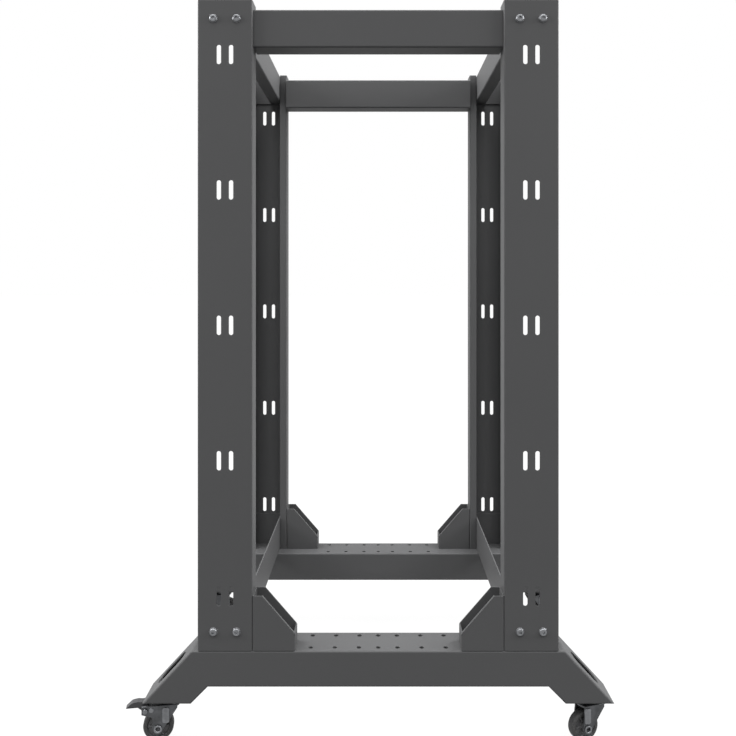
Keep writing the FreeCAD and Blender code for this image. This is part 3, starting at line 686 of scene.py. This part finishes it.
forkDetail = {
    "legFace": 0.0155,
    "ribWidth": 0.0115,
    "ribLow": 0.0335,
    "ribHigh": 0.0595,
    "ribProud": 0.0012,
    "ribCorner": 0.3,  # share of the rib's width
    "ribCornerSteps": 5,
    "ribEdge": 0.9,    # share of how proud the rib stands
    "plainCentre": -0.0132,
    "brakedCentre": -0.0005,
    "pinEnd": 0.018,
    "capRadius": 0.0042,
    "capHeight": 0.0016,
    "capSides": 32,
    "capTop": 0.3,     # share of the cap's height above the face it sits on
    "capEdge": 0.8,    # share of the cap's height
    "edgeSteps": 4,
    "stopForward": 0.0098,
    "stopUp": 0.0002,
    "stopFace": 0.0157,
}


def legRib():
    size = forkDetail
    proud = size["ribProud"]
    rib = addBlock((size["ribWidth"], size["ribHigh"] - size["ribLow"], proud * 2))
    bevelEdges(rib, lambda a, b: abs(a.z - b.z) > proud, size["ribWidth"] * size["ribCorner"],
               size["ribCornerSteps"])
    bevelEdges(rib, edgesAbove(proud / 2), proud * size["ribEdge"], size["edgeSteps"])
    return rib


def rivetCap():
    size = forkDetail
    tall = size["capHeight"]
    cap = addCylinder("cap", size["capRadius"], -tall, tall * size["capTop"],
                      sides=size["capSides"])
    bevelEdges(cap, edgesAbove(0), tall * size["capEdge"], size["edgeSteps"])
    return cap


rib, cap = legRib(), rivetCap()
upwards = Vector((0, 0, 1))
for corner in corners:
    kingpin = Vector(joints[f"swivel_{corner}"]["pos_m"])
    sideways = Vector(joints[f"wheel_{corner}"]["axis"])
    forwards = Vector((sideways.y, -sideways.x, 0))
    pedal = joints.get(f"pedal_{corner}")
    centre = forkDetail["brakedCentre" if pedal else "plainCentre"]
    for side, label in ((-1, "left"), (1, "right")):
        outward = sideways * side
        middle = kingpin + forwards * centre + outward * forkDetail["legFace"]
        middle.z = (forkDetail["ribLow"] + forkDetail["ribHigh"]) / 2
        turned = Matrix((upwards.cross(outward), upwards, outward)).transposed().to_4x4()
        # the rib is pressed from the leg, yet takes the greyer fastener zinc: a painted highlight
        copyTo(rib, f"fork_rib_{corner}_{label}", Matrix.Translation(middle) @ turned,
               f"swivel_{corner}")
        if pedal:
            pin = Vector(pedal["pos_m"])
            copyTo(cap, f"pedal_rivet_{corner}_{label}",
                   facing(pin + outward * forkDetail["pinEnd"], outward), f"pedal_{corner}")
            stop = (pin + forwards * forkDetail["stopForward"] + outward * forkDetail["stopFace"]
                    + upwards * forkDetail["stopUp"])
            copyTo(cap, f"stop_rivet_{corner}_{label}", facing(stop, outward),
                   f"swivel_{corner}")
bpy.data.objects.remove(rib)
bpy.data.objects.remove(cap)
print("fork ribs and rivet caps placed")


# Studio: pale floor, white surroundings, one wide light from above, and two pairs of lights
# high on either side and in front

studio = {
    "floorSize": 60.0,
    "floorColour": (0.10, 0.10, 0.10, 1),
    "speckColour": (0.5, 0.5, 0.5, 1),
    "speckScale": 40.0,
    "speckStrength": 0.05,
    "white": (1, 1, 1, 1),
    "floorGlow": 0.60,      # share of glow in the floor where it is seen directly
    "glowStrength": 1.60,
    "worldFill": 0.22,      # world's strength as a light; it is 1 where it is seen
    "overheadStrength": 3.2,
    "overheadSpread": 60.0,
    "overheadTilt": 25.0,
    "lightSize": 1.0,
    "side": {"power": 58.0, "place": (1.5, 0.25, 2.3)},
    "front": {"power": 55.0, "place": (2.6, -0.85, 1.9)},
    "aim": (0.0, 0.0, 0.75),
}


def hangLamp(name, light, place, turn):
    lamp = bpy.data.objects.new(name, light)
    bpy.context.scene.collection.objects.link(lamp)
    lamp.location = place
    lamp.rotation_euler = turn


def addOverhead():
    light = bpy.data.lights.new("overhead", "SUN")
    light.energy = studio["overheadStrength"]
    light.angle = math.radians(studio["overheadSpread"])
    hangLamp("overhead", light, (0, 0, 0), (math.radians(studio["overheadTilt"]), 0, 0))


def addAreaLight(name, place, power):
    light = bpy.data.lights.new(name, "AREA")
    light.energy = power
    light.shape = "SQUARE"
    light.size = studio["lightSize"]
    aim = Vector(studio["aim"]) - Vector(place)
    hangLamp(name, light, place, aim.to_track_quat("-Z", "Y").to_euler())


def seenDirectly(shade):
    # 1 for what the camera sees, also in or through a shiny or clear surface
    path = shade.node("ShaderNodeLightPath", {}, {}, "Is Camera Ray")
    rays = path.link.node.outputs
    glossy = Shade(shade.tree, rays["Is Glossy Ray"])
    through = Shade(shade.tree, rays["Is Transmission Ray"])
    return shade.math("MAXIMUM", shade.math("MAXIMUM", path, glossy), through)


def whiteFloor():
    bpy.ops.object.select_all(action="DESELECT")
    bpy.ops.mesh.primitive_plane_add(size=studio["floorSize"])
    floor = bpy.context.object
    floor.name = "floor"
    material, shade, place = newMaterial("paleFloor")
    speck = shade.noise(place, studio["speckScale"])
    tone = shade.blend(speck * studio["speckStrength"], studio["floorColour"],
                       studio["speckColour"])
    matt = shade.node("ShaderNodeBsdfDiffuse", {}, {"Color": tone})
    glow = shade.node("ShaderNodeEmission", {},
                      {"Color": studio["white"], "Strength": studio["glowStrength"]})
    mixed = shade.node("ShaderNodeMixShader", {},
                       {0: seenDirectly(shade) * studio["floorGlow"], 1: matt, 2: glow})
    shade.node("ShaderNodeOutputMaterial", {}, {"Surface": mixed})
    floor.data.materials.append(material)


def whiteWorld():
    world = bpy.data.worlds.new("studioWorld")
    world.use_nodes = True
    world.node_tree.nodes.clear()
    shade = Shade(world.node_tree)
    strength = shade.node("ShaderNodeMapRange", {}, {
        "Value": seenDirectly(shade), "To Min": studio["worldFill"], "To Max": 1.0})
    glow = shade.node("ShaderNodeBackground", {},
                      {"Color": studio["white"], "Strength": strength})
    shade.node("ShaderNodeOutputWorld", {}, {"Surface": glow})
    bpy.context.scene.world = world


whiteFloor()
whiteWorld()
addOverhead()
for kind in ("side", "front"):
    along, across, up = studio[kind]["place"]
    for side, label in ((-1, "rear"), (1, "front")):
        addAreaLight(f"{kind}_{label}", (side * along, across, up), studio[kind]["power"])
print("studio lit")


# Camera: level and square to the left side of the rack

view = {
    "place": (0.0, -1.568, 0.776),
    "lens": 38.86,
    "sensor": 36.0,
    "shiftX": -0.01386,
    "shiftY": -0.1236,
}
cameraData = bpy.data.cameras.new("camera")
cameraData.lens = view["lens"]
cameraData.sensor_width = view["sensor"]
cameraData.shift_x = view["shiftX"]
cameraData.shift_y = view["shiftY"]
camera = bpy.data.objects.new("camera", cameraData)
bpy.context.scene.collection.objects.link(camera)
camera.location = view["place"]
camera.rotation_euler = (math.pi / 2, 0, 0)
bpy.context.scene.camera = camera
bpy.context.scene.view_settings.view_transform = "Standard"
